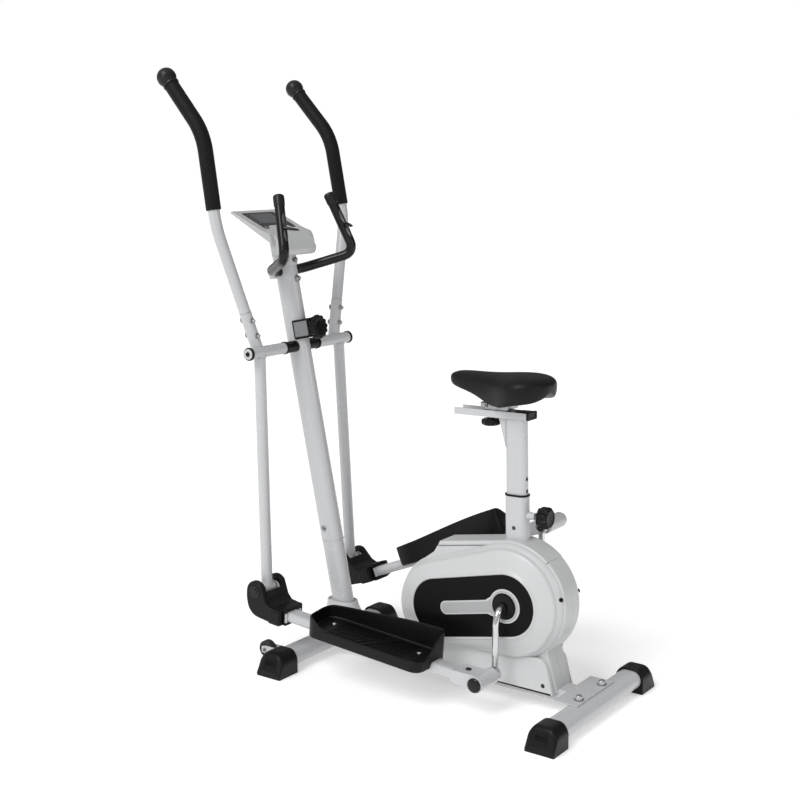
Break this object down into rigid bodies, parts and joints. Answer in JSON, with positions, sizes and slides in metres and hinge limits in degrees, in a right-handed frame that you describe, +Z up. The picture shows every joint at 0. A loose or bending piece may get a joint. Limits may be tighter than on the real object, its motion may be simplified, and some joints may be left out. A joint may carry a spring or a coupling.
{
  "type": "elliptical trainer",
  "caption": "Cross trainer with saddle: swinging handle arms, foot rails on a cranked flywheel drive, console and fixed grips.",
  "frame": {"origin": "on the floor under the middle of the bounding box", "axes": "+X is the rider's right, +Y points from the saddle to the console, +Z is up"},
  "size_m": [0.5596, 1.1446, 1.4851],
  "materials": {
    "white_paint": "gloss powder coat",
    "white_plastic": "satin gloss moulded",
    "black_plastic": "fine textured moulding",
    "panel_black": "satin",
    "wheel_rubber": "matte",
    "foam": "fine closed-cell foam",
    "ball_plastic": "satin moulded",
    "gloss_black": "glossy",
    "sensor_chrome": "polished",
    "chrome": "polished",
    "saddle_cover": "black synthetic leather with fine grain",
    "screen": "glossy dark window",
    "button_grey": "satin",
    "cast_iron": "turned",
    "belt_rubber": "ribbed",
    "steel": "zinc plated"
  },
  "bodies": {
    "frame": {"front_post": "white_paint", "tension_housing": "black_plastic", "seat_tube": "white_paint", "rear_stabilizer": "white_paint", "front_stabilizer": "white_paint", "rear_foot_left": "black_plastic", "front_foot_left": "black_plastic", "rear_foot_right": "black_plastic", "front_foot_right": "black_plastic", "main_beam": "white_paint", "post_stub": "white_paint", "post_boot": "white_plastic", "pivot_axle": "steel", "axle_bush_left": "black_plastic", "axle_bush_right": "black_plastic", "fixed_handlebar": "gloss_black", "pulse_grip_left": "sensor_chrome", "pulse_grip_right": "sensor_chrome", "console_housing": "white_plastic", "console_screen": "screen", "shroud_left": "white_plastic", "side_panel_left": "panel_black", "shroud_right": "white_plastic", "side_panel_right": "panel_black", "shroud_top_cover": "white_plastic", "flywheel_axle": "steel", "drive_belt": "belt_rubber"},
    "crank": {"crank": "chrome", "crank_pulley": "black_plastic", "hub_disc_left": "black_plastic", "hub_disc_right": "black_plastic"},
    "flywheel": {"flywheel": "cast_iron"},
    "tension_knob": {"tension_knob": "black_plastic"},
    "magnet_bracket": {"magnet_bracket": "steel"},
    "console_button": {"console_button": "button_grey"},
    "wheel_left": {"transport_wheel_left": "wheel_rubber"},
    "wheel_right": {"transport_wheel_right": "wheel_rubber"},
    "seat_post": {"seat_post": "white_paint"},
    "saddle": {"saddle_carriage": "steel", "saddle": "saddle_cover"},
    "saddle_knob": {"saddle_lock_knob": "black_plastic"},
    "post_knob": {"post_lock_knob": "black_plastic"},
    "arm_left": {"swing_arm_left": "white_paint", "handle_tube_left": "white_paint", "foam_grip_left": "foam", "ball_end_left": "ball_plastic", "arm_end_cap_left": "black_plastic"},
    "rail_left": {"foot_rail_left": "white_paint", "pedal_left": "black_plastic", "pivot_cover_left": "black_plastic", "spindle_cap_left": "black_plastic"},
    "arm_right": {"swing_arm_right": "white_paint", "handle_tube_right": "white_paint", "foam_grip_right": "foam", "ball_end_right": "ball_plastic", "arm_end_cap_right": "black_plastic"},
    "rail_right": {"foot_rail_right": "white_paint", "pedal_right": "black_plastic", "pivot_cover_right": "black_plastic", "spindle_cap_right": "black_plastic"}
  },
  "joints": [
    {"name": "crank_spin", "type": "hinge", "parent": "frame", "child": "crank", "pos_m": [0, -0.33233, 0.245], "axis": [1, 0, 0], "continuous": true},
    {"name": "flywheel_spin", "type": "hinge", "parent": "frame", "child": "flywheel", "pos_m": [0, -0.14233, 0.203], "axis": [1, 0, 0], "continuous": true},
    {"name": "arm_left_swing", "type": "hinge", "parent": "frame", "child": "arm_left", "pos_m": [-0.158, 0.32667, 0.797], "axis": [1, 0, 0], "range_deg": [-14.2, 11.4]},
    {"name": "arm_right_swing", "type": "hinge", "parent": "frame", "child": "arm_right", "pos_m": [0.158, 0.32667, 0.797], "axis": [1, 0, 0], "range_deg": [-11.4, 14.2]},
    {"name": "rail_left_pivot", "type": "hinge", "parent": "arm_left", "child": "rail_left", "pos_m": [-0.158, 0.31599, 0.19307], "axis": [1, 0, 0], "range_deg": [-11.4, 14.2]},
    {"name": "rail_right_pivot", "type": "hinge", "parent": "arm_right", "child": "rail_right", "pos_m": [0.158, 0.29147, 0.19401], "axis": [1, 0, 0], "range_deg": [-14.2, 11.4]},
    {"name": "wheel_left_spin", "type": "hinge", "parent": "frame", "child": "wheel_left", "pos_m": [-0.165, 0.31067, 0.033], "axis": [1, 0, 0], "continuous": true},
    {"name": "wheel_right_spin", "type": "hinge", "parent": "frame", "child": "wheel_right", "pos_m": [0.165, 0.31067, 0.033], "axis": [1, 0, 0], "continuous": true},
    {"name": "tension_turn", "type": "hinge", "parent": "frame", "child": "tension_knob", "pos_m": [0, 0.26981, 0.84878], "axis": [0, -0.9789, 0.2045], "range_deg": [0, 280]},
    {"name": "magnet_swing", "type": "hinge", "parent": "frame", "child": "magnet_bracket", "pos_m": [0, -0.20133, 0.082], "axis": [1, 0, 0], "range_deg": [0, 8]},
    {"name": "button_press", "type": "slide", "parent": "frame", "child": "console_button", "axis": [0, 0.4131, -0.9107], "range_m": [0, 0.0015], "stiffness_N_per_m": 300},
    {"name": "seat_height", "type": "slide", "parent": "frame", "child": "seat_post", "axis": [0, 0.0262, 0.9997], "range_m": [-0.058, 0.087]},
    {"name": "saddle_slide", "type": "slide", "parent": "seat_post", "child": "saddle", "axis": [0, 0.9997, -0.0262], "range_m": [-0.005, 0.06]},
    {"name": "saddle_knob_turn", "type": "hinge", "parent": "saddle", "child": "saddle_knob", "pos_m": [0, -0.25031, 0.65808], "axis": [0, 0.0262, 0.9997], "range_deg": [0, 360]},
    {"name": "post_knob_pull", "type": "slide", "parent": "frame", "child": "post_knob", "axis": [0, -0.9997, 0.0262], "range_m": [0, 0.012], "stiffness_N_per_m": 800}
  ],
  "couplings": [
    {"joint": "flywheel_spin", "follows": "crank_spin", "ratio": 3.189},
    {"joint": "arm_right_swing", "follows": "arm_left_swing", "ratio": -1},
    {"joint": "rail_left_pivot", "follows": "arm_left_swing", "ratio": -1},
    {"joint": "rail_right_pivot", "follows": "arm_left_swing", "ratio": 1},
    {"joint": "magnet_swing", "follows": "tension_turn", "ratio": 0.028571}
  ]
}
